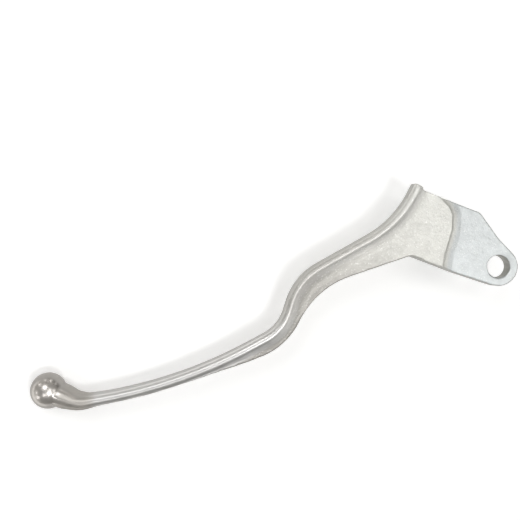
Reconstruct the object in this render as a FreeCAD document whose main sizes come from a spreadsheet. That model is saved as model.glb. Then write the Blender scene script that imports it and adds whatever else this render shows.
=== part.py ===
import FreeCAD, Part
import math
import os
import re
import Sketcher

# Motorcycle clutch lever, cast in one piece.
# Millimetres. The origin is the middle of the pivot bore, +Z runs along the bore towards the top face,
# the ball lies on the -X side and the rider's hand pulls the lever from the +Y side.

# Driving dimensions: name, size and what it measures.
SIZES = (
    ("reach", "169", "pivot axis to ball centre"),
    ("ball_diameter", "13.1", "ball at the free end"),
    ("neck_width", "9.6", "neck at the ball's middle"),
    ("collar_width", "7.2", "neck where it starts to bend"),
    ("collar_run", "9.6", "ball centre to the neck's bend, along the neck"),
    ("neck_proud", "0.2", "neck above and below the blade's ridges"),
    ("neck_sink", "0.3", "end of the neck inside the blade's skin"),
    ("neck_run", "10.1", "ball centre to the corner of the neck, along X"),
    ("neck_drop", "7.2", "ball centre to the corner of the neck, across X"),
    ("neck_round", "12", "bend radius of the neck"),
    ("neck_length", "2", "flare left past the neck's bend"),
    ("blade_bow", "6", "depth of the finger blade's bow"),
    ("rail_width", "4.4", "width of the rounded front rail and blade"),
    ("rail_ridge", "1.2", "radius of the rail's top and bottom ridges"),
    ("rail_proud", "1.3", "rail above the web's top face"),
    ("lip_height", "0.5", "rail below the floor of the underside"),
    ("elbow_from_pivot", "80.9", "pivot axis to the elbow's low bend, along X"),
    ("elbow_drop", "1.4", "pivot axis to the elbow's low bend, across X"),
    ("elbow_run", "10.4", "elbow's low bend to its high bend, along X"),
    ("elbow_rise", "15.9", "elbow's low bend to its high bend, across X"),
    ("elbow_low_round", "17", "radius of the elbow's low bend"),
    ("elbow_high_round", "21.5", "radius of the elbow's high bend"),
    ("shoulder_from_pivot", "30.3", "pivot axis to the shoulder's bend, along X"),
    ("shoulder_rise", "24.4", "pivot axis to the shoulder's bend, across X"),
    ("shoulder_round", "39.6", "radius of the hollow front edge"),
    ("tip_from_pivot", "19.8", "pivot axis to the rail's tip, along X"),
    ("tip_rise", "35.7", "pivot axis to the rail's tip, across X"),
    ("web_lead", "12", "length over which the web leaves the blade"),
    ("web_depth", "1.4", "back edge behind the blade's middle where the web has left it"),
    ("back_low_x", "0.7", "low back bend behind the elbow's low bend, along X"),
    ("back_low_depth", "6.4", "low back bend behind the elbow's low bend, across X"),
    ("back_high_x", "5.2", "high back bend past the elbow's high bend, along X"),
    ("back_high_depth", "4.4", "high back bend behind the elbow's high bend, across X"),
    ("back_low_round", "25.4", "radius of the low back bend"),
    ("back_high_round", "31.6", "radius of the high back bend"),
    ("heel_from_pivot", "29.4", "pivot axis to the heel corner of the back edge, along X"),
    ("heel_rise", "12.2", "pivot axis to the heel corner, across X"),
    ("body_rise", "0.9", "body above the lug's top face"),
    ("floor_drop", "1.2", "body below the lug's under face"),
    ("step_x", "9.6", "pivot axis to the nose of the step, along X"),
    ("step_rise", "22.6", "pivot axis to the nose of the step, across X"),
    ("step_round", "6", "radius of the step's nose"),
    ("step_slope", "2", "width of the sloping step"),
    ("step_setback", "0.4", "body's back edge inside the lug's back edge"),
    ("ledge_width", "1.8", "second ledge beyond the step on the underside"),
    ("lug_thickness", "7", "thickness at the pivot"),
    ("lug_radius", "7", "outside radius of the pivot lug"),
    ("brow_from_pivot", "14.7", "pivot axis to the brow of the cable edge, along X"),
    ("brow_rise", "30.5", "pivot axis to the brow of the cable edge, across X"),
    ("cheek_from_pivot", "1.1", "pivot axis to the cheek of the lug, along X"),
    ("cheek_rise", "20.4", "pivot axis to the cheek of the lug, across X"),
    ("cheek_round", "3.5", "radius of the cheek"),
    ("throat_x", "2.8", "pivot axis to the throat above the lug's round end, along X"),
    ("throat_rise", "9.6", "pivot axis to the throat, across X"),
    ("throat_round", "6", "radius of the throat"),
    ("waist_from_pivot", "15.5", "pivot axis to the waist of the back edge, along X"),
    ("waist_rise", "1.9", "pivot axis to the waist of the back edge, across X"),
    ("pivot_bolt", "8", "shoulder of the pivot bolt"),
    ("pivot_clearance", "0.1", "room for the pivot bolt, on the diameter"),
    ("bore_chamfer", "0.4", "chamfer at both mouths of the bore"),
    ("nipple", "8", "cable nipple"),
    ("nipple_clearance", "0.2", "room for the nipple, on the diameter"),
    ("nipple_x", "26.7", "pivot axis to the nipple seat, along X"),
    ("nipple_rise", "23.9", "pivot axis to the nipple seat, across X"),
    ("nipple_roof", "1.8", "metal left over the nipple seat"),
    ("channel_width", "3.2", "channel from the front edge to the nipple seat"),
    ("channel_depth", "5.6", "channel below the floor of the underside"),
    ("channel_heading", "130", "heading of the channel, degrees from +X"),
    ("slot_height", "2.4", "cable slot in the edge between tip and cheek"),
    ("slot_end_x", "6.2", "pivot axis to the slot's end, along X"),
    ("slot_end_rise", "24.9", "pivot axis to the slot's end, across X"),
    ("tab_height", "14", "switch tab below the floor of the underside"),
    ("tab_length", "14.7", "switch tab along the back edge"),
    ("tab_top_length", "10.9", "switch tab along its free edge"),
    ("tab_thickness", "3.2", "switch tab"),
    ("tab_bevel", "2.4", "bevel of the tab's pivot-side back corner"),
    ("tab_inset", "2", "tab's back face inside the back edge"),
    ("foot_length", "2.4", "foot beside the tab"),
    ("foot_height", "1.2", "foot above the floor of the underside"),
    ("dimple_diameter", "2", "dimple near the tab's free edge"),
    ("dimple_depth", "0.4", "dimple in the tab's front face"),
    ("panel_depth", "0.8", "recessed panel under the arm"),
    ("panel_front_rim", "3.2", "rim between the panel and the rail's middle line"),
    ("panel_back_rim", "1.5", "rim between the panel and the back edge"),
    ("panel_length", "18.5", "recessed panel along the arm"),
    ("panel_start", "6.5", "panel's blade-side wall past the elbow's high bend"),
    ("moon_radius", "3.1", "half-moon recess beside the panel"),
    ("moon_depth", "0.5", "half-moon recess"),
    ("moon_gap", "3.6", "panel's end to the middle of the half-moon"),
    ("ring_outer", "3.4", "outside of the ejector rings"),
    ("ring_width", "0.6", "width of the ejector rings"),
    ("disc_diameter", "5.8", "ejector discs on the lug's under face"),
    ("disc_lap", "0.7", "ejector discs inside the lug's round end"),
    ("mark_depth", "0.3", "depth of the ejector marks"),
)

# The bow's arc takes up this share of each half of the blade.
BOW_SHARE = 0.7
# The bow's arc passes its corner at this share of the bow's depth.
BOW_LIFT = 0.36
# The web and the lug meet the rail's middle line at this share of its last run, inside the tip.
TIP_SHARE = 0.93
# An arc leaves this share of a run to it.
ARC_ROOM = 0.97
# Lug outline leaves the round end at these headings, in degrees.
LUG_FRONT_HEADING = 32
LUG_BACK_HEADING = 237
# The sloping step is this many times as deep as the body's rise, so that it ends inside the lug.
STEP_SINK = 1.2
# The cable slot's outline passes its end and the tip by these shares of their distance from the nipple.
SLOT_END_PASS = 1.3
SLOT_TIP_PASS = 1.4
# Middles of the ejector rings beside the nipple seat, in ring diameters.
RING_SPOTS = ((-0.7, -1), (1.5, 0.6))
# Headings of the ejector discs from the pivot, in degrees.
DISC_HEADINGS = (98, 163)
# Cutting tools run this far past the faces that they open.
OVERRUN = 6
# Points nearer than this are on the same line.
NEAR = 1e-6

doc = FreeCAD.newDocument("clutch_lever")
sheet = doc.addObject("Spreadsheet::Sheet", "Sizes")
for row, (alias, number, note) in enumerate(SIZES, start=1):
    sheet.set(f"A{row}", note)
    sheet.set(f"B{row}", number)
    sheet.setAlias(f"B{row}", alias)
doc.recompute()

ALIASES = {alias for alias, _, _ in SIZES}
body = doc.addObject("PartDesign::Body", "clutch_lever")
body.Label = "clutch_lever"


def cells(expression):
    """Point each size named in an expression at its cell of the sheet."""
    words = re.split(r"([a-z_]+)", expression)
    return "".join("Sizes." + word if word in ALIASES else word for word in words)


def value(expression):
    """Number that an expression of the sheet's sizes gives now."""
    result = body.evalExpression(cells(expression))
    return float(getattr(result, "Value", result))


def bind(thing, target, expression):
    thing.setExpression(target, cells(expression))


def origin_plane(role):
    return next(plane for plane in body.Origin.OriginFeatures if plane.Role == role)


def flat_sketch(name, height):
    """Sketch in plan, at a height."""
    sketch = body.newObject("Sketcher::SketchObject", name)
    sketch.AttachmentSupport = [(origin_plane("XY_Plane"), "")]
    sketch.MapMode = "FlatFace"
    bind(sketch, "AttachmentOffset.Base.z", height)
    return sketch


def upright_sketch(name, x, y, heading):
    """Sketch on an upright plane through a plan point, its X axis along the heading and its Y axis up."""
    sketch = body.newObject("Sketcher::SketchObject", name)
    sketch.AttachmentSupport = [(origin_plane("XZ_Plane"), "")]
    sketch.MapMode = "FlatFace"
    turn = FreeCAD.Rotation(FreeCAD.Vector(0, 1, 0), value(heading))
    sketch.AttachmentOffset = FreeCAD.Placement(FreeCAD.Vector(), turn)
    bind(sketch, "AttachmentOffset.Base.x", x)
    bind(sketch, "AttachmentOffset.Base.z", f"-({y})")
    bind(sketch, "AttachmentOffset.Rotation.Angle", heading)
    return sketch


def pin_down(sketch, name, geometry, end, x, y):
    """Fix a point of a sketch at two expressions."""
    sketch.addConstraint(Sketcher.Constraint("DistanceX", geometry, end, value(x)))
    sketch.renameConstraint(sketch.ConstraintCount - 1, name + "_x")
    bind(sketch, f"Constraints.{name}_x", x)
    sketch.addConstraint(Sketcher.Constraint("DistanceY", geometry, end, value(y)))
    sketch.renameConstraint(sketch.ConstraintCount - 1, name + "_y")
    bind(sketch, f"Constraints.{name}_y", y)


def set_radius(sketch, name, geometry, radius):
    sketch.addConstraint(Sketcher.Constraint("Radius", geometry, value(radius)))
    sketch.renameConstraint(sketch.ConstraintCount - 1, name)
    bind(sketch, "Constraints." + name, radius)


def draw_circle(sketch, name, x, y, radius):
    centre = FreeCAD.Vector(value(x), value(y), 0)
    circle = sketch.addGeometry(Part.Circle(centre, FreeCAD.Vector(0, 0, 1), value(radius)))
    pin_down(sketch, name, circle, 3, x, y)
    set_radius(sketch, name + "_radius", circle, radius)


def draw_oval(sketch, width, low, high):
    """Upright oval on the sketch's own Y axis: a ridge arc at each end and a flatter arc on each side."""
    ridge = f"(rail_ridge * ({width}) / rail_width)"
    half_width = f"(({width}) / 2)"
    half_height = f"((({high}) - ({low})) / 2)"
    flank = (f"(({half_height}^2 + {half_width}^2 - 2 * {half_height} * {ridge})"
             f" / (2 * ({half_width} - {ridge})))")
    axis = FreeCAD.Vector(0, 0, 1)
    top = FreeCAD.Vector(0, value(f"{high} - {ridge}"), 0)
    bottom = FreeCAD.Vector(0, value(f"{low} + {ridge}"), 0)
    shift = FreeCAD.Vector(value(f"{flank} - {half_width}"), 0, 0)
    middle = (top + bottom) / 2
    lean = math.atan2(top.y - middle.y, shift.x)

    def arc(centre, radius, start, end):
        return sketch.addGeometry(Part.ArcOfCircle(Part.Circle(centre, axis, value(radius)), start, end))

    upper = arc(top, ridge, lean, math.pi - lean)
    left = arc(middle + shift, flank, math.pi - lean, math.pi + lean)
    lower = arc(bottom, ridge, math.pi + lean, 2 * math.pi - lean)
    right = arc(middle - shift, flank, -lean, lean)
    for first, second in ((upper, left), (left, lower), (lower, right), (right, upper)):
        sketch.addConstraint(Sketcher.Constraint("Tangent", first, 2, second, 1))
    pin_down(sketch, "upper", upper, 3, "0", f"{high} - {ridge}")
    pin_down(sketch, "lower", lower, 3, "0", f"{low} + {ridge}")
    set_radius(sketch, "upper_radius", upper, ridge)
    set_radius(sketch, "lower_radius", lower, ridge)
    set_radius(sketch, "left_radius", left, flank)
    set_radius(sketch, "right_radius", right, flank)


def draw_obround(sketch, width, low, high):
    """Upright oblong with round ends, on the sketch's own Y axis."""
    radius = f"({width}) / 2"
    half = value(radius)
    top = value(high) - half
    bottom = value(low) + half
    axis = FreeCAD.Vector(0, 0, 1)
    side = FreeCAD.Vector(half, 0, 0)
    upper_centre = FreeCAD.Vector(0, top, 0)
    lower_centre = FreeCAD.Vector(0, bottom, 0)
    upper_arc = Part.ArcOfCircle(Part.Circle(upper_centre, axis, half), 0, math.pi)
    lower_arc = Part.ArcOfCircle(Part.Circle(lower_centre, axis, half), math.pi, 2 * math.pi)
    upper = sketch.addGeometry(upper_arc)
    lower = sketch.addGeometry(lower_arc)
    left = sketch.addGeometry(Part.LineSegment(upper_centre - side, lower_centre - side))
    right = sketch.addGeometry(Part.LineSegment(lower_centre + side, upper_centre + side))
    sketch.addConstraint(Sketcher.Constraint("Tangent", upper, 2, left, 1))
    sketch.addConstraint(Sketcher.Constraint("Tangent", left, 2, lower, 1))
    sketch.addConstraint(Sketcher.Constraint("Tangent", lower, 2, right, 1))
    sketch.addConstraint(Sketcher.Constraint("Tangent", right, 2, upper, 1))
    pin_down(sketch, "upper", upper, 3, "0", f"{high} - {radius}")
    pin_down(sketch, "lower", lower, 3, "0", f"{low} + {radius}")
    set_radius(sketch, "upper_radius", upper, radius)
    set_radius(sketch, "lower_radius", lower, radius)


def draw_outline(sketch, corners, closed=True):
    """Straight runs through corners of x, y and rounding radius. A radius of None leaves the corner sharp."""
    points = [FreeCAD.Vector(value(x), value(y), 0) for x, y, _ in corners]
    count = len(points)
    arrive = list(points)
    leave = list(points)
    arcs = {}
    for index, (_, _, rounding) in enumerate(corners):
        if rounding is None:
            continue
        corner = points[index]
        to_last = (points[index - 1] - corner).normalize()
        to_next = (points[(index + 1) % count] - corner).normalize()
        half_angle = to_last.getAngle(to_next) / 2
        radius = value(rounding)
        reach_along = radius / math.tan(half_angle)
        arrive[index] = corner + to_last * reach_along
        leave[index] = corner + to_next * reach_along
        centre = corner + (to_last + to_next).normalize() * (radius / math.sin(half_angle))
        left_turn = to_last.cross(to_next).z < 0
        first, last = (arrive[index], leave[index]) if left_turn else (leave[index], arrive[index])
        start_angle = math.atan2(first.y - centre.y, first.x - centre.x)
        end_angle = math.atan2(last.y - centre.y, last.x - centre.x)
        circle = Part.Circle(centre, FreeCAD.Vector(0, 0, 1), radius)
        arcs[index] = (Part.ArcOfCircle(circle, start_angle, end_angle), left_turn)
    runs = count if closed else count - 1
    segments = [Part.LineSegment(leave[run], arrive[(run + 1) % count]) for run in range(runs)]
    lines = [sketch.addGeometry(segment) for segment in segments]
    for index, (x, y, rounding) in enumerate(corners):
        into = lines[index - 1] if closed or index > 0 else None
        out = lines[index] if index < runs else None
        name = f"corner{index}"
        if rounding is not None:
            shape, left_turn = arcs[index]
            arc = sketch.addGeometry(shape)
            first, last = (1, 2) if left_turn else (2, 1)
            sketch.addConstraint(Sketcher.Constraint("Tangent", into, 2, arc, first))
            sketch.addConstraint(Sketcher.Constraint("Tangent", arc, last, out, 1))
            mark = sketch.addGeometry(Part.Point(points[index]), True)
            sketch.addConstraint(Sketcher.Constraint("PointOnObject", mark, 1, into))
            sketch.addConstraint(Sketcher.Constraint("PointOnObject", mark, 1, out))
            pin_down(sketch, name, mark, 1, x, y)
            set_radius(sketch, name + "_radius", arc, rounding)
        elif out is None:
            pin_down(sketch, name, into, 2, x, y)
        else:
            if into is not None:
                sketch.addConstraint(Sketcher.Constraint("Coincident", into, 2, out, 1))
            pin_down(sketch, name, out, 1, x, y)


def pad(name, sketch, length, reverse=False):
    feature = body.newObject("PartDesign::Pad", name)
    feature.Profile = sketch
    feature.Reversed = reverse
    bind(feature, "Length", length)
    doc.recompute()
    return feature


def pocket(name, sketch, depth, reverse=False):
    """Cut along the sketch's normal, backwards unless reversed, and make sure that it took metal away."""
    before = body.Shape.Volume
    feature = body.newObject("PartDesign::Pocket", name)
    feature.Profile = sketch
    feature.Reversed = reverse
    bind(feature, "Length", depth)
    doc.recompute()
    if not body.Shape.Volume < before:
        raise RuntimeError(name + " cut nothing")
    return feature


def edge_names(shape, wanted):
    """Names of the edges whose every end and middle meets a test."""
    names = []
    for number, edge in enumerate(shape.Edges, start=1):
        middle = edge.valueAt((edge.FirstParameter + edge.LastParameter) / 2)
        if all(wanted(point) for point in [middle] + [vertex.Point for vertex in edge.Vertexes]):
            names.append(f"Edge{number}")
    if not names:
        raise RuntimeError("no edge found")
    return names


def heading(first, second):
    """Expression for the heading from one corner to another."""
    return f"atan2(({second[1]}) - ({first[1]}); ({second[0]}) - ({first[0]}))"


def run_length(first, second):
    """Expression for the distance between two corners."""
    return f"sqrt((({second[0]}) - ({first[0]}))^2 + (({second[1]}) - ({first[1]}))^2)"


def half_turn(before, corner, after):
    """Expression for half the angle by which a line turns at a corner."""
    return f"(abs({heading(corner, after)} - {heading(before, corner)}) / 2)"


def two_bends(before, first, second, after, first_round, second_round):
    """Radii of two bends in a row, both made smaller alike where the run between them is too short."""
    used = (f"({first_round} * tan({half_turn(before, first, second)})"
            f" + {second_round} * tan({half_turn(first, second, after)}))")
    fit = f"min(1; {ARC_ROOM} * {run_length(first, second)} / {used})"
    return f"{first_round} * {fit}", f"{second_round} * {fit}"


def line_height(first, second, x):
    """Expression for where the line through two corners stands at an x."""
    return (f"({first[1]}) + (({x}) - ({first[0]})) * (({second[1]}) - ({first[1]}))"
            f" / (({second[0]}) - ({first[0]}))")


# Heights, from the middle of the lug
BODY_TOP = "(lug_thickness / 2 + body_rise)"
FLOOR = "(-lug_thickness / 2 - floor_drop)"
RAIL_TOP = f"({BODY_TOP} + rail_proud)"
RAIL_LOW = f"({FLOOR} - lip_height)"
RAIL_MIDDLE = f"(({RAIL_TOP} + {RAIL_LOW}) / 2)"
NECK_SPAN = (f"({RAIL_LOW} - neck_proud)", f"({RAIL_TOP} + neck_proud)")

# Corners of the rail's middle line in plan, from the ball to the tip
BALL = ("-reach", "0")
NECK = ("-reach + neck_run", "-neck_drop")
ELBOW_LOW = ("-elbow_from_pivot", "-elbow_drop")
ELBOW_HIGH = (f"{ELBOW_LOW[0]} + elbow_run", f"{ELBOW_LOW[1]} + elbow_rise")
SHOULDER = ("-shoulder_from_pivot", "shoulder_rise")
TIP = ("-tip_from_pivot", "tip_rise")
TIP_ROOT = tuple(f"(({start}) + {TIP_SHARE} * (({end}) - ({start})))" for start, end in zip(SHOULDER, TIP))
HALF_BLADE = "((reach - neck_run - elbow_from_pivot) / 2)"
BLADE = (f"-elbow_from_pivot - {HALF_BLADE}", "-(neck_drop + elbow_drop) / 2 - blade_bow")
BLADE_ROUND = f"{BOW_SHARE} * {HALF_BLADE} * {HALF_BLADE} / blade_bow"
NECK_HEADING = heading(BALL, NECK)
BLADE_HEADING = heading(NECK, BLADE)
ELBOW_LOW_ROUND, ELBOW_HIGH_ROUND = two_bends(
    BLADE, ELBOW_LOW, ELBOW_HIGH, SHOULDER, "elbow_low_round", "elbow_high_round")

# The hollow front edge has its named radius, or the largest that the run to the tip has room for.
SHOULDER_ROOM = f"{ARC_ROOM} * {run_length(SHOULDER, TIP_ROOT)} / tan({half_turn(ELBOW_HIGH, SHOULDER, TIP)})"
SHOULDER_ROUND = f"min(shoulder_round; {SHOULDER_ROOM})"

# Corners of the back edge, from the blade to the lug
BLADE_MIDDLE = (BLADE[0], f"{BLADE[1]} + {BOW_LIFT} * blade_bow")
WEB_ROOT = (f"{BLADE[0]} + web_lead", f"{BLADE_MIDDLE[1]} - web_depth")
BACK_LOW = (f"{ELBOW_LOW[0]} - back_low_x", f"{ELBOW_LOW[1]} - back_low_depth")
BACK_HIGH = (f"{ELBOW_HIGH[0]} + back_high_x", f"{ELBOW_HIGH[1]} - back_high_depth")
HEEL = ("-heel_from_pivot", "heel_rise")
WAIST = ("-waist_from_pivot", "waist_rise")
BACK_LOW_ROUND, BACK_HIGH_ROUND = two_bends(
    WEB_ROOT, BACK_LOW, BACK_HIGH, HEEL, "back_low_round", "back_high_round")
STEP_FOOT = ("-(heel_from_pivot + 2 * waist_from_pivot) / 3",
             "(heel_rise + 2 * waist_rise) / 3 + step_setback")
STEP_NOSE = ("-step_x", "step_rise")
BROW = ("-brow_from_pivot", "brow_rise")
CHEEK = ("-cheek_from_pivot", "cheek_rise")
THROAT = ("throat_x", "throat_rise")
NIPPLE = ("-nipple_x", "nipple_rise")


def make_web():
    """Arm and body behind the rail, with a sloping step down to the lug."""
    sketch = flat_sketch("web_outline", FLOOR)
    draw_outline(sketch, [
        BLADE_MIDDLE + (None,),
        ELBOW_LOW + (ELBOW_LOW_ROUND,),
        ELBOW_HIGH + (ELBOW_HIGH_ROUND,),
        SHOULDER + (SHOULDER_ROUND,),
        TIP_ROOT + (None,),
        STEP_NOSE + ("step_round",),
        STEP_FOOT + (None,),
        HEEL + (None,),
        BACK_HIGH + (BACK_HIGH_ROUND,),
        BACK_LOW + (BACK_LOW_ROUND,),
        WEB_ROOT + (None,),
    ])
    web = pad("web", sketch, f"{BODY_TOP} - {FLOOR}")
    top = value(BODY_TOP)
    left = min(value(TIP_ROOT[0]), value(STEP_FOOT[0])) - NEAR
    slope = body.newObject("PartDesign::Chamfer", "step_slope")
    slope.Base = (web, edge_names(web.Shape, lambda point: abs(point.z - top) < NEAR and point.x > left))
    slope.ChamferType = "Two distances"
    bind(slope, "Size", "step_slope")
    bind(slope, "Size2", f"body_rise * {STEP_SINK}")
    doc.recompute()


def make_lug():
    """Thinner plate that carries the pivot, with a round end."""
    sketch = flat_sketch("lug_outline", "-lug_thickness / 2")
    front = (f"lug_radius * cos({LUG_FRONT_HEADING})", f"lug_radius * sin({LUG_FRONT_HEADING})")
    back = (f"lug_radius * cos({LUG_BACK_HEADING})", f"lug_radius * sin({LUG_BACK_HEADING})")
    draw_outline(sketch, [
        NIPPLE + (None,),
        TIP_ROOT + (None,),
        BROW + (None,),
        CHEEK + ("cheek_round",),
        THROAT + ("throat_round",),
        front + (None,),
        ("0", "0", None),
        back + (None,),
        WAIST + (None,),
        HEEL + (None,),
    ])
    pad("lug", sketch, "lug_thickness")
    end = flat_sketch("lug_end_outline", "-lug_thickness / 2")
    draw_circle(end, "lug_end", "0", "0", "lug_radius")
    pad("lug_end", end, "lug_thickness")
    ledge = flat_sketch("ledge_outline", "-lug_thickness / 2 - floor_drop / 2")
    draw_outline(ledge, [
        NIPPLE + (None,),
        TIP_ROOT + (None,),
        (f"{STEP_NOSE[0]} + ledge_width", STEP_NOSE[1], "step_round"),
        (f"{STEP_FOOT[0]} + ledge_width", f"{STEP_FOOT[1]} - ledge_width / 2", None),
    ])
    pad("ledge", ledge, "floor_drop")


def make_rail():
    """Rounded rail from the ball along the finger blade, round the elbow and up to the tip."""
    spine = flat_sketch("rail_spine", "0")
    draw_outline(spine, [
        BALL + (None,),
        NECK + ("neck_round",),
        BLADE + (BLADE_ROUND,),
        ELBOW_LOW + (ELBOW_LOW_ROUND,),
        ELBOW_HIGH + (ELBOW_HIGH_ROUND,),
        SHOULDER + (SHOULDER_ROUND,),
        TIP + (None,),
    ], closed=False)
    section = upright_sketch("rail_section", *BALL, f"{NECK_HEADING} + 90 deg")
    draw_oval(section, "rail_width", RAIL_LOW, RAIL_TOP)
    doc.recompute()
    rail = body.newObject("PartDesign::AdditivePipe", "rail")
    rail.Profile = section
    rail.Spine = (spine, [f"Edge{number}" for number in range(1, len(spine.Shape.Edges) + 1)])
    rail.Transition = "Transformed"
    doc.recompute()


def make_ball_end():
    """Ball and the flared neck that carries it."""
    root = upright_sketch("neck_root", *BALL, f"{NECK_HEADING} + 90 deg")
    draw_oval(root, "neck_width", *NECK_SPAN)
    collar = upright_sketch("neck_collar", f"{BALL[0]} + collar_run * cos({NECK_HEADING})",
                            f"collar_run * sin({NECK_HEADING})", f"{NECK_HEADING} + 90 deg")
    draw_oval(collar, "collar_width", *NECK_SPAN)
    past = f"(neck_round * tan({half_turn(BALL, NECK, BLADE)}) + neck_length)"
    end = upright_sketch("neck_end", f"{NECK[0]} + {past} * cos({BLADE_HEADING})",
                         f"{NECK[1]} + {past} * sin({BLADE_HEADING})", f"{BLADE_HEADING} + 90 deg")
    draw_oval(end, "rail_width - 2 * neck_sink", f"{RAIL_LOW} + neck_sink", f"{RAIL_TOP} - neck_sink")
    neck = body.newObject("PartDesign::AdditiveLoft", "neck")
    neck.Profile = root
    neck.Sections = [collar, end]
    neck.Ruled = True
    doc.recompute()
    ball = body.newObject("PartDesign::AdditiveSphere", "ball")
    ball.AttachmentSupport = [(origin_plane("XY_Plane"), "")]
    ball.MapMode = "FlatFace"
    bind(ball, "AttachmentOffset.Base.x", BALL[0])
    bind(ball, "AttachmentOffset.Base.z", RAIL_MIDDLE)
    bind(ball, "Radius", "ball_diameter / 2")
    doc.recompute()


EDGE_HEADING = heading(HEEL, WAIST)
# Pivot-side end of the tab's back face
TAB_END = (f"{WAIST[0]} + tab_inset * cos({EDGE_HEADING} + 90 deg)",
           f"{WAIST[1]} + tab_inset * sin({EDGE_HEADING} + 90 deg)")


def make_tab():
    """Upright switch tab on the underside, along the back edge, and the small foot beside it."""
    sketch = upright_sketch("tab_face", *TAB_END, EDGE_HEADING)
    draw_outline(sketch, [
        ("-tab_length", "0", None),
        ("-tab_length", FLOOR, None),
        ("-tab_top_length", f"{FLOOR} - tab_height", None),
        ("0", f"{FLOOR} - tab_height", None),
        ("0", "0", None),
    ])
    pad("tab", sketch, "tab_thickness", reverse=True)
    foot = upright_sketch("foot_face", *TAB_END, EDGE_HEADING)
    draw_outline(foot, [
        ("-tab_length - foot_length", "0", None),
        ("-tab_length - foot_length", f"{FLOOR} - foot_height", None),
        ("-tab_length + foot_length", f"{FLOOR} - foot_height", None),
        ("-tab_length + foot_length", "0", None),
    ])
    pad("foot", foot, "tab_thickness + foot_height", reverse=True)
    bevel = flat_sketch("tab_bevel_outline", f"{FLOOR} - tab_height - {OVERRUN}")
    along = (f"cos({EDGE_HEADING})", f"sin({EDGE_HEADING})")
    across = (f"cos({EDGE_HEADING} + 90 deg)", f"sin({EDGE_HEADING} + 90 deg)")

    def beside(forward, inward):
        return tuple(f"{TAB_END[axis]} + ({forward}) * {along[axis]} + ({inward}) * {across[axis]}"
                     for axis in (0, 1))

    draw_outline(bevel, [
        beside("-2 * tab_bevel", "-tab_bevel") + (None,),
        beside("tab_bevel", "-tab_bevel") + (None,),
        beside("tab_bevel", "2 * tab_bevel") + (None,),
    ])
    pocket("tab_bevel", bevel, f"tab_height + floor_drop + {OVERRUN}", reverse=True)
    dimple = upright_sketch("dimple_outline", *beside("0", "tab_thickness"), EDGE_HEADING)
    draw_circle(dimple, "dimple", "-2 * dimple_diameter", f"{FLOOR} - tab_height + 1.5 * dimple_diameter",
                "dimple_diameter / 2")
    pocket("dimple", dimple, "dimple_depth", reverse=True)


def cut_pivot():
    """Plain bore through the lug, chamfered at both mouths."""
    sketch = flat_sketch("bore_outline", "lug_thickness / 2")
    draw_circle(sketch, "bore", "0", "0", "(pivot_bolt + pivot_clearance) / 2")
    bore = pocket("bore", sketch, "lug_thickness")
    radius = value("(pivot_bolt + pivot_clearance) / 2")
    face = value("lug_thickness / 2")
    mouths = edge_names(bore.Shape, lambda point: abs(math.hypot(point.x, point.y) - radius) < NEAR
                        and abs(abs(point.z) - face) < NEAR)
    chamfer = body.newObject("PartDesign::Chamfer", "bore_chamfer")
    chamfer.Base = (bore, mouths)
    bind(chamfer, "Size", "bore_chamfer")
    doc.recompute()


def cut_cable_way():
    """Blind nipple seat, its channel from the front edge, and the slot that the cable swings in."""
    seat = flat_sketch("nipple_outline", f"{RAIL_LOW} - {OVERRUN}")
    draw_circle(seat, "nipple", *NIPPLE, "(nipple + nipple_clearance) / 2")
    pocket("nipple_seat", seat, f"{BODY_TOP} - nipple_roof - {RAIL_LOW} + {OVERRUN}", reverse=True)
    channel = upright_sketch("channel_section", *NIPPLE, "channel_heading + 90")
    draw_obround(channel, "channel_width", f"{RAIL_LOW} - channel_width", f"{FLOOR} + channel_depth")
    pocket("channel", channel, "nipple + rail_width", reverse=True)
    slot = flat_sketch("slot_outline", "slot_height / 2")

    def past(corner, share):
        return tuple(f"{NIPPLE[axis]} + {share} * (({corner[axis]}) - ({NIPPLE[axis]}))" for axis in (0, 1))

    end = past(("-slot_end_x", "slot_end_rise"), SLOT_END_PASS)
    draw_outline(slot, [
        NIPPLE + (None,),
        end + (None,),
        (end[0], f"tip_rise + {OVERRUN}", None),
        past(TIP, SLOT_TIP_PASS) + (None,),
    ])
    pocket("cable_slot", slot, "slot_height")


def cut_panel():
    """Shallow panel under the arm, and the half-moon beyond its end."""
    first = f"{ELBOW_HIGH[0]} + panel_start"
    last = f"{first} + panel_length"
    sketch = flat_sketch("panel_outline", FLOOR)
    front_first = f"{line_height(ELBOW_HIGH, SHOULDER, first)} - panel_front_rim"
    front_last = f"{line_height(ELBOW_HIGH, SHOULDER, last)} - panel_front_rim"
    back_first = f"{line_height(BACK_HIGH, HEEL, first)} + panel_back_rim"
    back_last = f"{line_height(BACK_HIGH, HEEL, last)} + panel_back_rim"
    draw_outline(sketch, [
        (first, front_first, None),
        (f"{first} + panel_back_rim", back_first, None),
        (last, back_last, None),
        (last, front_last, None),
    ])
    pocket("panel", sketch, "panel_depth", reverse=True)
    moon = flat_sketch("moon_outline", FLOOR)
    x = f"{last} + moon_gap"
    y = f"({line_height(ELBOW_HIGH, SHOULDER, x)} + {line_height(BACK_HIGH, HEEL, x)}) / 2"
    centre = FreeCAD.Vector(value(x), value(y), 0)
    radius = value("moon_radius")
    axis = FreeCAD.Vector(0, 0, 1)
    arc = moon.addGeometry(Part.ArcOfCircle(Part.Circle(centre, axis, radius), math.pi, 2 * math.pi))
    ends = FreeCAD.Vector(radius, 0, 0)
    chord = moon.addGeometry(Part.LineSegment(centre + ends, centre - ends))
    moon.addConstraint(Sketcher.Constraint("Coincident", arc, 2, chord, 1))
    moon.addConstraint(Sketcher.Constraint("Coincident", chord, 2, arc, 1))
    moon.addConstraint(Sketcher.Constraint("PointOnObject", arc, 3, chord))
    moon.addConstraint(Sketcher.Constraint("Horizontal", chord))
    pin_down(moon, "moon", arc, 3, x, y)
    set_radius(moon, "moon_radius", arc, "moon_radius")
    pocket("half_moon", moon, "moon_depth", reverse=True)


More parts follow.
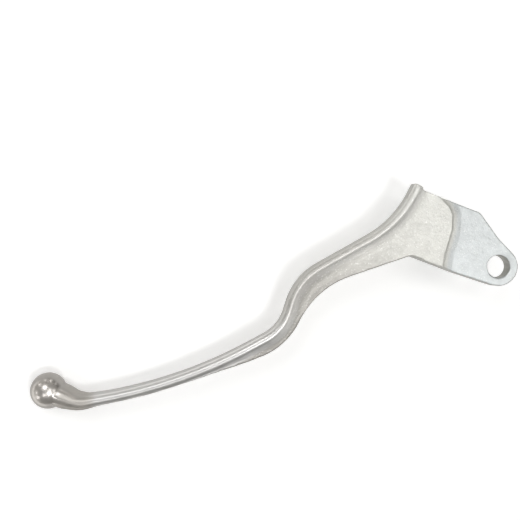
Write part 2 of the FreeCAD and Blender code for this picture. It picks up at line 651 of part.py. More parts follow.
def cut_marks():
    """Shallow ejector rings in the floor and discs in the lug's under face."""
    rings = flat_sketch("ring_outline", FLOOR)
    for number, (along, across) in enumerate(RING_SPOTS):
        side = math.copysign(0.5, across)
        x = f"{NIPPLE[0]} + ring_outer * {along}"
        y = f"{NIPPLE[1]} + nipple * {side} + ring_outer * {across}"
        draw_circle(rings, f"outer{number}", x, y, "ring_outer / 2")
        draw_circle(rings, f"inner{number}", x, y, "ring_outer / 2 - ring_width")
    pocket("ejector_rings", rings, "mark_depth", reverse=True)
    discs = flat_sketch("disc_outline", "-lug_thickness / 2")
    spread = "(lug_radius + disc_diameter / 2 - disc_lap)"
    for number, heading in enumerate(DISC_HEADINGS):
        draw_circle(discs, f"disc{number}", f"{spread} * cos({heading})", f"{spread} * sin({heading})",
                    "disc_diameter / 2")
    pocket("ejector_discs", discs, "mark_depth", reverse=True)


make_web()
make_lug()
make_rail()
make_ball_end()
make_tab()
cut_pivot()
cut_cable_way()
cut_panel()
cut_marks()
doc.recompute()

failed = [thing.Name for thing in doc.Objects if {"Invalid", "Error"} & set(thing.State)]
if failed:
    raise RuntimeError("failed: " + ", ".join(failed))
if body.Shape.isNull() or not body.Shape.isValid() or len(body.Shape.Solids) != 1:
    raise RuntimeError("clutch_lever is not one valid solid")

os.makedirs("parts", exist_ok=True)
body.Shape.exportStep(f"parts/{body.Label}.step")
box = body.Shape.BoundBox
print(f"{body.Label} {box.XLength:.1f} x {box.YLength:.1f} x {box.ZLength:.1f} mm")
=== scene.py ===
import math

import bmesh
import bpy
import numpy as np
from bpy.props import FloatProperty, FloatVectorProperty, IntProperty, PointerProperty
from mathutils import Matrix, Vector


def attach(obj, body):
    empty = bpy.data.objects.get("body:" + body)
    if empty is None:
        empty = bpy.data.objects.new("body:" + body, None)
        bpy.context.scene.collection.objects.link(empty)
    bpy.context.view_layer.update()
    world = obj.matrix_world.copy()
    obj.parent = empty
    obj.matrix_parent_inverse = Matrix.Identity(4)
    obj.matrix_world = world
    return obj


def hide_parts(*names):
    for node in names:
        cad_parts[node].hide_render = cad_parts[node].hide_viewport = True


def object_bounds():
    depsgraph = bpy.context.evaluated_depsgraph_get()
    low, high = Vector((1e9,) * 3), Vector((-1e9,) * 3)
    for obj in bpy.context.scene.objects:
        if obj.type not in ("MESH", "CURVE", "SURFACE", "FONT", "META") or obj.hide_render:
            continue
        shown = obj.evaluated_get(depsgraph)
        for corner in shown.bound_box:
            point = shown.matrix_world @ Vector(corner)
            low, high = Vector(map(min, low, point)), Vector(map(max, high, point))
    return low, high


bl_info = {
    "name": "Clutch Lever",
    "version": (1, 0, 0),
    "blender": (4, 5, 0),
    "location": "View3D > Sidebar > Clutch Lever",
    "description": "Dresses the cast clutch lever and sets up its studio",
    "category": "Object",
}

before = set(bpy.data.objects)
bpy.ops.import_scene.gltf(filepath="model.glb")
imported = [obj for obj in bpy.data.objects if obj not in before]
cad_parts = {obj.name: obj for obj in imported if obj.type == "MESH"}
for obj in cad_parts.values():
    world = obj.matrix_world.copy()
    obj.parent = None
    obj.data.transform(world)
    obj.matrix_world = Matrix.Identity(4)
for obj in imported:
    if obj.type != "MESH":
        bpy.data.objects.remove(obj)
CAD_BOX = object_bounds()
NODE = "clutch_lever"

# Lengths of the lever are millimetres in its own frame, and the finished mesh is scaled to metres.
MM = 0.001

# Corners of the rail's middle line in plan, from the ball to the tip: x, y and bend radius.
RAIL_CORNERS = (
    (-169.0, 0.0, 0.0),
    (-158.9, -7.2, 12.0),
    (-119.9, -10.3, 177.45),
    (-80.9, -1.4, 17.0),
    (-70.5, 14.5, 21.5),
    (-30.3, 24.4, 39.6),
    (-19.8, 35.7, 0.0),
)
# Spacing of points on that line, first as drawn and then evened out.
CORNER_STEP = 0.25
RAIL_STEP = 0.5
# Heights of the rail's upper and lower ridge, its width, and heights of the web's and the lug's top faces.
RAIL_TOP = 5.7
RAIL_LOW = -5.2
RAIL_WIDTH = 4.4
WEB_TOP = 4.4
LUG_TOP = 3.5
# Height of the ball's centre, and how often the faces of its mesh are divided.
BALL_HEIGHT = 0.25
BALL_SUBDIVISIONS = 5

# Width of the swept bar at distances along the rail from the ball's centre.
BAR_WIDTHS = ((0.0, 9.7), (6.8, 8.8), (8.2, 8.2), (9.6, 7.4), (11.1, 6.85), (14.0, 5.75), (17.2, 5.0),
              (21.0, 4.55), (27.0, RAIL_WIDTH))
# Points along each arc of the bar's section.
ARC_STEPS = 12
# Ridge radius as a share of the bar's width: full on the blade, sharper from the elbow on.
RIDGE_ALONG = (0.0, 84.0, 108.0)
RIDGE_SHARES = (0.45, 0.45, 0.34)
# The neck's extra height above and below the blade, and where it has run out.
NECK_PROUD = 0.2
NECK_END = 17.0
# Back edge of the web where it grows out of the blade: distance along the rail and from its middle.
WEB_BACK = ((44.0, 1.6), (50.0, 1.95), (57.0, 2.25), (60.5, 2.45), (64.5, 2.75), (68.0, 3.15), (71.6, 3.6),
            (77.0, 4.3), (82.0, 4.4))
# Floor of the web there, and how much lower its top is at that edge.
WEB_FLOOR = -4.6
WEB_FALL = 0.3

# Outline in plan of the body's raised part between the rail's tip, the front edge and the step.
BODY_CORNER = ((-21.5, 33.5), (-20.0, 34.4), (-19.2, 33.82), (-15.05, 30.6), (-13.85, 29.1), (-11.85, 25.4),
               (-11.45, 22.35), (-12.95, 17.6), (-15.25, 13.8), (-17.5, 10.4), (-22.0, 14.0), (-24.0, 24.0))
# Floor of that part, above the nipple seat's ceiling.
BODY_FLOOR = 1.5

# Upper edge of the sloped step from the body down to the lug, in plan, from the front edge to the back.
STEP_LINE = ((-22.5, 38.8), (-16.7, 33.0), (-13.7, 29.1), (-11.7, 25.4), (-11.3, 22.3),
             (-12.8, 17.5), (-15.1, 13.7), (-17.4, 10.2), (-19.0, 6.9), (-20.0, 4.2))
STEP_SPACING = 0.2
# Share of the step's height left at distances past that edge: a small drop, then a gentle slope.
STEP_RUN = (0.0, 0.5, 3.5)
STEP_SHARES = (1.0, 0.66, 0.0)
# Skin that the step may move: how far up it faces or lies above the lug, its height band and its reach
# in plan.
STEP_FACES_UP = 0.3
STEP_ABOVE_LUG = 0.02
STEP_BAND = 1.2
STEP_REACH = 3
STEP_LOWEST_Y = -5

# Fillet from the rail down to the web: its start, its top, and its width at distances along the rail.
FILLET_START = 0.7
FILLET_TOP = RAIL_TOP - 0.2
FILLET_RUNS = ((40.0, 3.0), (70.0, 6.2), (90.0, 7.2), (150.0, 5.0), (190.0, 3.4))
# Hollow at the elbow: where its width is given, its two ends along the rail, its start and spare width
# across, and how far past its width the smoothing fades out.
SCOOP_MIDDLE = 110.0
SCOOP_ENDS = ((72.0, 90.0), (130.0, 106.0))
SCOOP_START = 1.0
SCOOP_SPARE = 0.5
SCOOP_FADE = 2.0
# Skin of the web's top face: how far up it faces, how deep it may lie when shaped and when smoothed, and
# the smoothing passes over it.
WEB_FACES_UP = 0.35
WEB_FACE_DEPTH = 0.5
WEB_SMOOTH_DEPTH = 0.8
WEB_PASSES = 14
# The two pulls of each smoothing pass, in and out again.
SHRINK = 0.5
SWELL = -0.52
# Gap between points of the CAD mesh that is closed.
WELD = 1e-4
# Points measured against the rail at one time.
BLOCK = 20000

# Where a finish starts or ends along the rail from the ball's centre: none of it at the first number, all of
# it at the second. The bounds below are given in the same way.
BALL_END = (20.0, 12.0)
NECK_START = (4.6, 6.4)
NECK_FADE = (20.0, 14.5)
BLADE_END = (78.0, 58.0)
DULL_RAIL = (80.0, 104.0)
# The web's painted shade, darkening towards the elbow; none of it at the first number, all of it at the
# second.
ELBOW_SHADE_END = (172.0, 104.0)
# Bounds out from the rail's flank, down from the web's top, along x to the lug and up from the lug's top.
RAIL_EDGE = (1.1, 0.1)
RAIL_UNDER = (1.0, 1.8)
LUG_START = (-24.0, -21.0)
LUG_RISE = (0.55, 0.15)
# Polish lost on the rail's underside and on the rail past the elbow.
UNDER_LOSS = 0.4
DULL_LOSS = 0.7
# Skin that stands up as a side or rolls over as a rim, by how far up it faces, where the colour is darkened
# as painted shade.
SHADED_SIDE_FACING = (0.5, 0.08)
RIM_SHADE_FACING = (0.80, 0.60)

# Darker and lighter share of each colour in the metal's patches on its faces, and the darker share on its
# steep sides and rims, which is painted shade.
TONES = {
    "cast": (0.93, 1.04),
    "worn": (0.93, 1.07),
    "lug": (0.92, 1.06),
    "polished": (0.96, 1.03),
    "ball": (0.95, 1.04),
    "neck": (0.88, 1.1),
}
SIDE_SHADE_TONES = {
    "cast": (0.52, 0.62),
    "polished": (0.62, 0.72),
    "ball": (0.46, 0.54),
    "neck": (0.62, 0.74),
}
# How far each roughness falls and rises from patch to patch.
ROUGHNESS_SWINGS = {
    "cast": (0.1, 0.1),
    "polished": (0.04, 0.05),
    "ball": (0.03, 0.04),
    "neck": (0.06, 0.06),
}
# Noise of the skin: features per metre and detail, and the part of its range that is used.
GRAIN = (2600.0, 3.0)
PATCH = (260.0, 4.0)
PITS = (900.0, 2.0)
SKIN_NOISE_ROUGHNESS = 0.6
NOISE_RANGE = (0.3, 0.7)
# Sparkling crystals of the as-cast skin: number per metre, size in their cells, strength and colour.
SPARKS = 1100.0
SPARK_SIZE = (0.12, 0.28)
SPARK_SHARE = 0.5
SPARK_COLOUR = (0.92, 0.92, 0.90, 1.0)
# Bump strength on as-cast and on polished metal, and its depth in metres.
GRAIN_BUMP = (0.45, 0.03)
GRAIN_DEPTH = 0.0001
PIT_BUMP = (0.55, 0.0)
PIT_DEPTH = 0.00015
# Tint of the metal's reflections at grazing angles.
GRAZING_TINT = (0.84, 0.83, 0.82, 1.0)

# Points of the lever that touch the table: x and z.
BALL_REST = (-169.0, -6.3)
TAB_REST = (-20.0, -18.7)
# Half the table's side in metres, and the fibre of its paper: features per metre, detail and tones.
TABLE_HALF = 0.9
FIBRE = (90.0, 2.0)
FIBRE_NOISE_ROUGHNESS = 0.5
FIBRE_TONES = (0.99, 1.01)

# Distance of the lamps and the point that they aim at, in metres.
LAMP_REACH = 0.9
LAMP_AIM = (-0.08, 0.01, 0.0)
# Lamps: name, tilt from upright and turn from the picture's right in degrees, diameter in metres and
# power in watts.
LAMPS = (
    ("key", 19.0, -40.0, 0.16, 1.80),
    ("fill", 22.0, 28.0, 0.28, 0.42),
    ("left", 26.0, -128.0, 0.18, 0.42),
    ("soft", 29.0, 119.0, 0.40, 1.25),
    ("side", 48.0, 0.0, 0.26, 0.45),
    ("ball_1", 65.0, 144.0, 0.13, 0.19),
    ("ball_2", 67.0, 190.0, 0.12, 0.15),
    ("ball_3", 66.0, 212.0, 0.16, 0.28),
    ("ball_4", 79.0, 109.0, 0.12, 0.16),
    ("ball_5", 78.0, 80.0, 0.15, 0.26),
    ("ball_6", 82.0, 45.0, 0.13, 0.20),
)
# Power of the cosine by which the sky's light falls off away from each direction.
SKY_FALL = 2.0

# Camera: place in metres, sensor width in millimetres and nearest distance that it sees in metres.
CAMERA_PLACE = (-0.0821, 0.0252, 0.2615)
SENSOR_WIDTH = 36.0
CLIP_START = 0.01


class LeverShape(bpy.types.PropertyGroup):
    """Sizes of the dressed casting."""

    ball_diameter: FloatProperty(
        name="Ball diameter", description="Ball at the free end", default=0.0131, unit="LENGTH")
    grain: FloatProperty(
        name="Mesh grain", description="Edge length of the casting's mesh", default=0.00034, unit="LENGTH")
    skin_passes: IntProperty(
        name="Skin passes", description="Smoothing passes over the whole casting", default=8)
    scoop_depth: FloatProperty(
        name="Scoop depth", description="Depth of the hollow below the web's top at the elbow",
        default=0.0003, unit="LENGTH")
    scoop_run: FloatProperty(
        name="Scoop run", description="Width of the hollow between rail and web at the elbow",
        default=0.0066, unit="LENGTH")


class LeverFinish(bpy.types.PropertyGroup):
    """Colours and gloss of the aluminium, and the painted shade of its web at the elbow."""

    polished: FloatVectorProperty(
        name="Polished", description="Colour of the rail and blade",
        default=(0.70, 0.695, 0.68), subtype="COLOR", min=0.0, max=1.0)
    ball: FloatVectorProperty(
        name="Ball", description="Colour of the buffed ball",
        default=(0.68, 0.65, 0.615), subtype="COLOR", min=0.0, max=1.0)
    neck: FloatVectorProperty(
        name="Neck", description="Colour of the dull neck behind the ball",
        default=(0.56, 0.535, 0.50), subtype="COLOR", min=0.0, max=1.0)
    cast: FloatVectorProperty(
        name="As cast", description="Colour of the web and body",
        default=(0.74, 0.74, 0.70), subtype="COLOR", min=0.0, max=1.0)
    # Painted shade: the darker colour of the web towards the elbow.
    worn: FloatVectorProperty(
        name="Elbow shade", description="Colour of the web at the elbow",
        default=(0.48, 0.466, 0.436), subtype="COLOR", min=0.0, max=1.0)
    lug: FloatVectorProperty(
        name="Lug", description="Colour of the pivot lug",
        default=(0.65, 0.675, 0.675), subtype="COLOR", min=0.0, max=1.0)
    ball_roughness: FloatProperty(
        name="Ball roughness", description="Roughness of the buffed ball",
        default=0.29, subtype="FACTOR", min=0.0, max=1.0)
    neck_roughness: FloatProperty(
        name="Neck roughness", description="Roughness of the dull neck behind the ball",
        default=0.45, subtype="FACTOR", min=0.0, max=1.0)
    polished_roughness: FloatProperty(
        name="Polished roughness", description="Roughness of the polished blade and rail",
        default=0.37, subtype="FACTOR", min=0.0, max=1.0)
    cast_roughness: FloatProperty(
        name="Cast roughness", description="Roughness of the as-cast skin",
        default=0.53, subtype="FACTOR", min=0.0, max=1.0)


class LeverStudio(bpy.types.PropertyGroup):
    """Table, sky and camera."""

    table: FloatVectorProperty(
        name="Table", description="Colour of the table", default=(0.97, 0.97, 0.965),
        subtype="COLOR", min=0.0, max=1.0)
    table_lift: FloatProperty(
        name="Table lift", description="Glow that makes the table white in the picture", default=0.30)
    sky_top: FloatProperty(name="Sky overhead", description="Level of the sky overhead", default=0.27)
    sky_right: FloatProperty(name="Sky right", description="Level of the sky on the right", default=0.30)
    sky_left: FloatProperty(name="Sky left", description="Level of the sky on the left", default=0.42)
    sky_far: FloatProperty(name="Sky far", description="Level of the sky beyond the lever", default=0.42)
    sky_near: FloatProperty(name="Sky near", description="Level of the sky on the near side", default=0.26)
    side_tint: FloatVectorProperty(
        name="Side tint", description="Tint of the sky near the horizon", default=(1.0, 0.97, 0.92),
        subtype="COLOR", min=0.0, max=1.0)
    roll: FloatProperty(
        name="Roll", description="Turn of the camera about its axis", default=math.radians(-15.51),
        subtype="ANGLE")
    lens: FloatProperty(
        name="Lens", description="Focal length of the camera", default=49.64, subtype="DISTANCE_CAMERA")


def bent_line(corners, step):
    """Points in plan along straight runs and the tangent arcs that round their corners."""
    points = []
    last = np.array(corners[0][:2])
    for index in range(1, len(corners) - 1):
        corner = np.array(corners[index][:2])
        before = np.array(corners[index - 1][:2]) - corner
        after = np.array(corners[index + 1][:2]) - corner
        before /= np.linalg.norm(before)
        after /= np.linalg.norm(after)
        half = math.acos(float(np.clip(before @ after, -1, 1))) / 2
        radius = corners[index][2]
        arrive = corner + before * radius / math.tan(half)
        leave = corner + after * radius / math.tan(half)
        middle = before + after
        centre = corner + middle / np.linalg.norm(middle) * radius / math.sin(half)
        run = max(2, int(np.linalg.norm(arrive - last) / step))
        points += [last + (arrive - last) * k / run for k in range(run)]
        first = math.atan2(*(arrive - centre)[::-1])
        turn = math.atan2(*(leave - centre)[::-1]) - first
        turn = (turn + math.pi) % (2 * math.pi) - math.pi
        run = max(3, int(abs(turn) * radius / step))
        for k in range(run):
            angle = first + turn * k / run
            points.append(centre + radius * np.array((math.cos(angle), math.sin(angle))))
        last = leave
    end = np.array(corners[-1][:2])
    run = max(2, int(np.linalg.norm(end - last) / step))
    points += [last + (end - last) * k / run for k in range(run + 1)]
    return np.array(points)


def even_line(points, step):
    """The same line with evenly spaced points, and how far along it each one lies."""
    steps = np.linalg.norm(np.diff(points, axis=0), axis=1)
    along = np.concatenate(([0.0], np.cumsum(steps)))
    even = np.linspace(0.0, along[-1], int(along[-1] / step) + 1)
    return np.stack([np.interp(even, along, points[:, axis]) for axis in (0, 1)], axis=1), even


def line_headings(line):
    """Unit direction of a line in plan at each of its points."""
    headings = np.gradient(line, axis=0)
    return headings / np.linalg.norm(headings, axis=1)[:, None]


RAIL_LINE, RAIL_ALONG = even_line(bent_line(RAIL_CORNERS, CORNER_STEP), RAIL_STEP)
RAIL_HEADINGS = line_headings(RAIL_LINE)


def oval(width, height, ridge):
    """Upright oval about the origin: a ridge arc at each end and a flatter arc on each side."""
    half, tall = width / 2, height / 2
    flank = (tall ** 2 + half ** 2 - 2 * tall * ridge) / (2 * (half - ridge))
    lean = math.atan2(tall - ridge, flank - half)
    points = []
    for x, y, radius, start, end in (
            (0.0, tall - ridge, ridge, lean, math.pi - lean),
            (flank - half, 0.0, flank, math.pi - lean, math.pi + lean),
            (0.0, ridge - tall, ridge, math.pi + lean, 2 * math.pi - lean),
            (half - flank, 0.0, flank, -lean, lean)):
        for k in range(ARC_STEPS):
            angle = start + (end - start) * k / ARC_STEPS
            points.append((x + radius * math.cos(angle), y + radius * math.sin(angle)))
    return points


def add_loft(bm, rings):
    """Closed skin through rings of places that have the same number of points."""
    rings = [[bm.verts.new(place) for place in ring] for ring in rings]
    count = len(rings[0])
    for near, far in zip(rings, rings[1:]):
        for k in range(count):
            bm.faces.new((near[k], near[(k + 1) % count], far[(k + 1) % count], far[k]))
    bm.faces.new(rings[0])
    bm.faces.new(list(reversed(rings[-1])))


def add_bar(bm):
    """Blade, rail and neck as one oval bar, swept along the rail's middle line."""
    reach, widths = zip(*BAR_WIDTHS)
    middle = (RAIL_TOP + RAIL_LOW) / 2
    rings = []
    for point, heading, along in zip(RAIL_LINE, RAIL_HEADINGS, RAIL_ALONG):
        width = float(np.interp(along, reach, widths))
        ridge = float(np.interp(along, RIDGE_ALONG, RIDGE_SHARES)) * width
        proud = NECK_PROUD * max(0.0, 1 - along / NECK_END)
        side = np.array((-heading[1], heading[0]))
        section = oval(width, RAIL_TOP - RAIL_LOW + 2 * proud, ridge)
        rings.append([(*(point + side * across), middle + up) for across, up in section])
    add_loft(bm, rings)


def add_web_root(bm):
    """Plate on the back of the blade that leads smoothly into the web."""
    reach, depths = zip(*WEB_BACK)
    inside = (RAIL_ALONG >= reach[0]) & (RAIL_ALONG <= reach[-1])
    rings = []
    for point, heading, along in zip(RAIL_LINE[inside], RAIL_HEADINGS[inside], RAIL_ALONG[inside]):
        outer = point + np.array((heading[1], -heading[0])) * float(np.interp(along, reach, depths))
        corners = ((point, WEB_FLOOR), (outer, WEB_FLOOR), (outer, WEB_TOP - WEB_FALL), (point, WEB_TOP))
        rings.append([(*plan, z) for plan, z in corners])
    add_loft(bm, rings)


def add_body_corner(bm):
    """Block that carries the body's top face out to the front edge beside the rail's tip."""
    add_loft(bm, [[(x, y, z) for x, y in BODY_CORNER] for z in (BODY_FLOOR, WEB_TOP)])


def rail_distance(places):
    """Distance of each point from the rail's middle line in plan, the side it lies on and how far along."""
    distance, side, along = (np.empty(len(places)) for _ in range(3))
    for start in range(0, len(places), BLOCK):
        part = slice(start, start + BLOCK)
        block = places[part, :2]
        offsets = block[:, None, :] - RAIL_LINE[None, :, :]
        nearest = np.argmin((offsets ** 2).sum(axis=2), axis=1)
        offset = block - RAIL_LINE[nearest]
        heading = RAIL_HEADINGS[nearest]
        across = heading[:, 0] * offset[:, 1] - heading[:, 1] * offset[:, 0]
        ends = (nearest == 0) | (nearest == len(RAIL_LINE) - 1)
        distance[part] = np.where(ends, np.linalg.norm(offset, axis=1), np.abs(across))
        side[part] = np.sign(across)
        along[part] = RAIL_ALONG[nearest]
    return distance, side, along


def neighbour_mean(edges, places):
    """Middle of the points that each point shares an edge with."""
    total = np.zeros_like(places)
    count = len(places)
    share = np.bincount(edges.ravel(), minlength=count)
    for axis in range(3):
        total[:, axis] += np.bincount(edges[:, 0], places[edges[:, 1], axis], count)
        total[:, axis] += np.bincount(edges[:, 1], places[edges[:, 0], axis], count)
    return total / np.maximum(share, 1)[:, None]


def smooth(edges, places, passes, weight=1.0):
    """Even out a surface without shrinking it, more where the weight is higher."""
    weight = np.broadcast_to(np.asarray(weight, float), (len(places),))[:, None]
    for _ in range(passes):
        for pull in (SHRINK, SWELL):
            places = places + weight * pull * (neighbour_mean(edges, places) - places)
    return places


def smooth_step(low, high, x):
    """0 at the first bound and 1 at the second, with an even start and end."""
    t = np.clip((x - low) / (high - low), 0, 1)
    return t * t * (3 - 2 * t)


def mesh_arrays(mesh):
    """Places of a mesh's points, the two ends of its edges, and its points' normals."""
    places = np.empty(len(mesh.vertices) * 3)
    mesh.vertices.foreach_get("co", places)
    edges = np.empty(len(mesh.edges) * 2, int)
    mesh.edges.foreach_get("vertices", edges)
    normals = np.empty(len(mesh.vertices) * 3)
    mesh.vertices.foreach_get("normal", normals)
    return places.reshape(-1, 3), edges.reshape(-1, 2), normals.reshape(-1, 3)


def store(mesh, name, values):
    """Keep one number per point in the mesh, for the material to read."""
    attribute = mesh.attributes.new(name, "FLOAT", "POINT")
    attribute.data.foreach_set("value", np.asarray(values, np.float32))


def joined_forms(shape):
    """The CAD solid with the finer bar, web root, ball and body corner set into it, in millimetres."""
    bm = bmesh.new()
    bm.from_mesh(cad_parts[NODE].data)
    bmesh.ops.scale(bm, vec=(1 / MM,) * 3, verts=bm.verts)
    bmesh.ops.remove_doubles(bm, verts=bm.verts, dist=WELD)
    add_bar(bm)
    add_web_root(bm)
    ball = Matrix.Translation((RAIL_CORNERS[0][0], RAIL_CORNERS[0][1], BALL_HEIGHT))
    bmesh.ops.create_icosphere(bm, subdivisions=BALL_SUBDIVISIONS,
                               radius=shape.ball_diameter / MM / 2, matrix=ball)
    add_body_corner(bm)
    bmesh.ops.recalc_face_normals(bm, faces=bm.faces)
    mesh = bpy.data.meshes.new("rough")
    bm.to_mesh(mesh)
    bm.free()
    return mesh


def one_skin(rough, size):
    """One closed skin of even faces over all the forms in a mesh."""
    thing = bpy.data.objects.new("rough", rough)
    bpy.context.scene.collection.objects.link(thing)
    skin = thing.modifiers.new("skin", "REMESH")
    skin.mode = "VOXEL"
    skin.voxel_size = size
    depsgraph = bpy.context.evaluated_depsgraph_get()
    mesh = bpy.data.meshes.new_from_object(thing.evaluated_get(depsgraph))
    bpy.data.objects.remove(thing)
    bpy.data.meshes.remove(rough)
    return mesh


def slope_step(places, normals):
    """Lead the body's top face down to the lug by a slope instead of a wall."""
    line = even_line(np.array(STEP_LINE), STEP_SPACING)[0]
    headings = line_headings(line)
    upper = (normals[:, 2] > STEP_FACES_UP) | (places[:, 2] > LUG_TOP + STEP_ABOVE_LUG)
    near = np.flatnonzero((np.abs(places[:, 2] - LUG_TOP) < STEP_BAND) & upper
                          & (places[:, 0] > line[:, 0].min() - STEP_REACH) & (places[:, 1] > STEP_LOWEST_Y))
    offset = places[near, None, :2] - line[None, :, :]
    nearest = np.argmin((offset ** 2).sum(axis=2), axis=1)
    offset = offset[np.arange(len(near)), nearest]
    past = headings[nearest, 1] * -offset[:, 0] + headings[nearest, 0] * offset[:, 1]
    top = LUG_TOP + (WEB_TOP - LUG_TOP) * np.interp(past, STEP_RUN, STEP_SHARES)
    inside = (nearest > 0) & (nearest < len(line) - 1)
    places = places.copy()
    places[near[inside], 2] = np.maximum(places[near[inside], 2], top[inside])
    return places


def shaped_skin(mesh, shape, distance, side, along):
    """Places of the skin's points with the fillet, the elbow's hollow, the step and soft edges."""
    places, edges, normals = mesh_arrays(mesh)
    back = side < 0
    web_face = back & (normals[:, 2] > WEB_FACES_UP) & (places[:, 2] > WEB_TOP - WEB_FACE_DEPTH)
    runs = sorted(FILLET_RUNS + ((SCOOP_MIDDLE, shape.scoop_run / MM),))
    run = np.interp(along, *zip(*runs))
    t = np.clip((distance - FILLET_START) / run, 0, 1)
    fillet = WEB_TOP + (FILLET_TOP - WEB_TOP) * (1 - t) ** 2
    inner = web_face & (distance > FILLET_START) & (t < 1)
    places[inner, 2] = np.maximum(places[inner, 2], fillet[inner])

    elbow = smooth_step(*SCOOP_ENDS[0], along) * smooth_step(*SCOOP_ENDS[1], along)
    across = np.clip((distance - SCOOP_START) / (run + SCOOP_SPARE), 0, 1)
    dip = shape.scoop_depth / MM * elbow * np.sin(np.pi * across) ** 2
    places[:, 2] -= dip * web_face
    places = slope_step(places, normals)

    scooped = smooth_step(run + SCOOP_FADE, run + SCOOP_SPARE, distance)
    scooped = scooped * back * (places[:, 2] > WEB_TOP - WEB_SMOOTH_DEPTH)
    places = smooth(edges, places, WEB_PASSES, scooped)
    places = smooth(edges, places, shape.skin_passes)
    return np.clip(places, np.array(CAD_BOX[0]) / MM, np.array(CAD_BOX[1]) / MM)


def mark_finishes(mesh, places, distance, along):
    """Share of each finish at every point of the skin, and of the painted shade on steep sides, rims and the
    web at the elbow.
    """
    flank = RAIL_WIDTH / 2
    bar = smooth_step(flank + RAIL_EDGE[0], flank + RAIL_EDGE[1], distance)
    under = smooth_step(WEB_TOP - RAIL_UNDER[0], WEB_TOP - RAIL_UNDER[1], places[:, 2])
    rail = bar * (1 - UNDER_LOSS * under) * (1 - DULL_LOSS * smooth_step(*DULL_RAIL, along))
    store(mesh, "polish", np.maximum(rail, smooth_step(*BLADE_END, along)))
    store(mesh, "ball", smooth_step(*BALL_END, along))
    store(mesh, "neck", smooth_step(*NECK_START, along) * smooth_step(*NECK_FADE, along))
    # Painted shade on the web towards the elbow.
    store(mesh, "worn", smooth_step(*ELBOW_SHADE_END, along))
    # Painted shade on steep sides and on the rims of the ball and neck, by how far up the skin faces.
    upright = np.abs(mesh_arrays(mesh)[2][:, 2])
    store(mesh, "side", smooth_step(*SHADED_SIDE_FACING, upright))
    store(mesh, "rim", smooth_step(*RIM_SHADE_FACING, upright))
    low = smooth_step(LUG_TOP + LUG_RISE[0], LUG_TOP + LUG_RISE[1], places[:, 2])
    store(mesh, "lug", smooth_step(*LUG_START, places[:, 0]) * low)


def casting_mesh(shape):
    """One skin over the CAD solid, with a finer bar and ball, an even surface and soft edges."""
    mesh = one_skin(joined_forms(shape), shape.grain / MM)
    distance, side, along = rail_distance(mesh_arrays(mesh)[0])
    places = shaped_skin(mesh, shape, distance, side, along)
    mesh.vertices.foreach_set("co", (places * MM).ravel())
    mesh.update()
    mark_finishes(mesh, places, distance, along)
    return mesh


class Nodes:
    """Shorthand for a material's or world's node tree."""

    def __init__(self, owner):
        owner.use_nodes = True
        self.tree = owner.node_tree
        self.tree.nodes.clear()

    def add(self, kind, inputs=None, **settings):
        """New node with its settings, and each input linked to a socket or set to a value."""
        node = self.tree.nodes.new("ShaderNode" + kind)
        for name, setting in settings.items():
            setattr(node, name, setting)
        for name, value in (inputs or {}).items():
            if isinstance(value, bpy.types.NodeSocket):
                self.tree.links.new(value, node.inputs[name])
            else:
                node.inputs[name].default_value = value
        return node

    def mix(self, factor, first, second):
        """Mix of two colours."""
        return self.add("Mix", {0: factor, 6: first, 7: second}, data_type="RGBA").outputs[2]

    def blend(self, factor, first, second):
        """Mix of two numbers."""
        return self.add("Mix", {0: factor, 2: first, 3: second}).outputs[0]

    def span(self, factor, low, high, from_low=0.0, from_high=1.0):
        """One range of numbers stretched to another and held at its ends."""
        return self.add("MapRange", {"Value": factor, "From Min": from_low, "From Max": from_high,
                                     "To Min": low, "To Max": high}).outputs[0]

    def combine(self, operation, first, second):
        """Two numbers combined by a math operation."""
        return self.add("Math", {0: first, 1: second}, operation=operation).outputs[0]

    def noise(self, place, scale, detail, roughness):
        """Noise in space, given by its features per metre."""
        return self.add("TexNoise", {"Vector": place, "Scale": scale, "Detail": detail,
                                     "Roughness": roughness}).outputs["Fac"]

    def scaled(self, vector, factor):
        """Vector or colour times a number."""
        return self.add("VectorMath", {0: vector, "Scale": factor}, operation="SCALE").outputs[0]


def shade(colour, factor):
    """Darker or lighter colour with full cover."""
    return tuple(min(1.0, channel * factor) for channel in colour) + (1.0,)


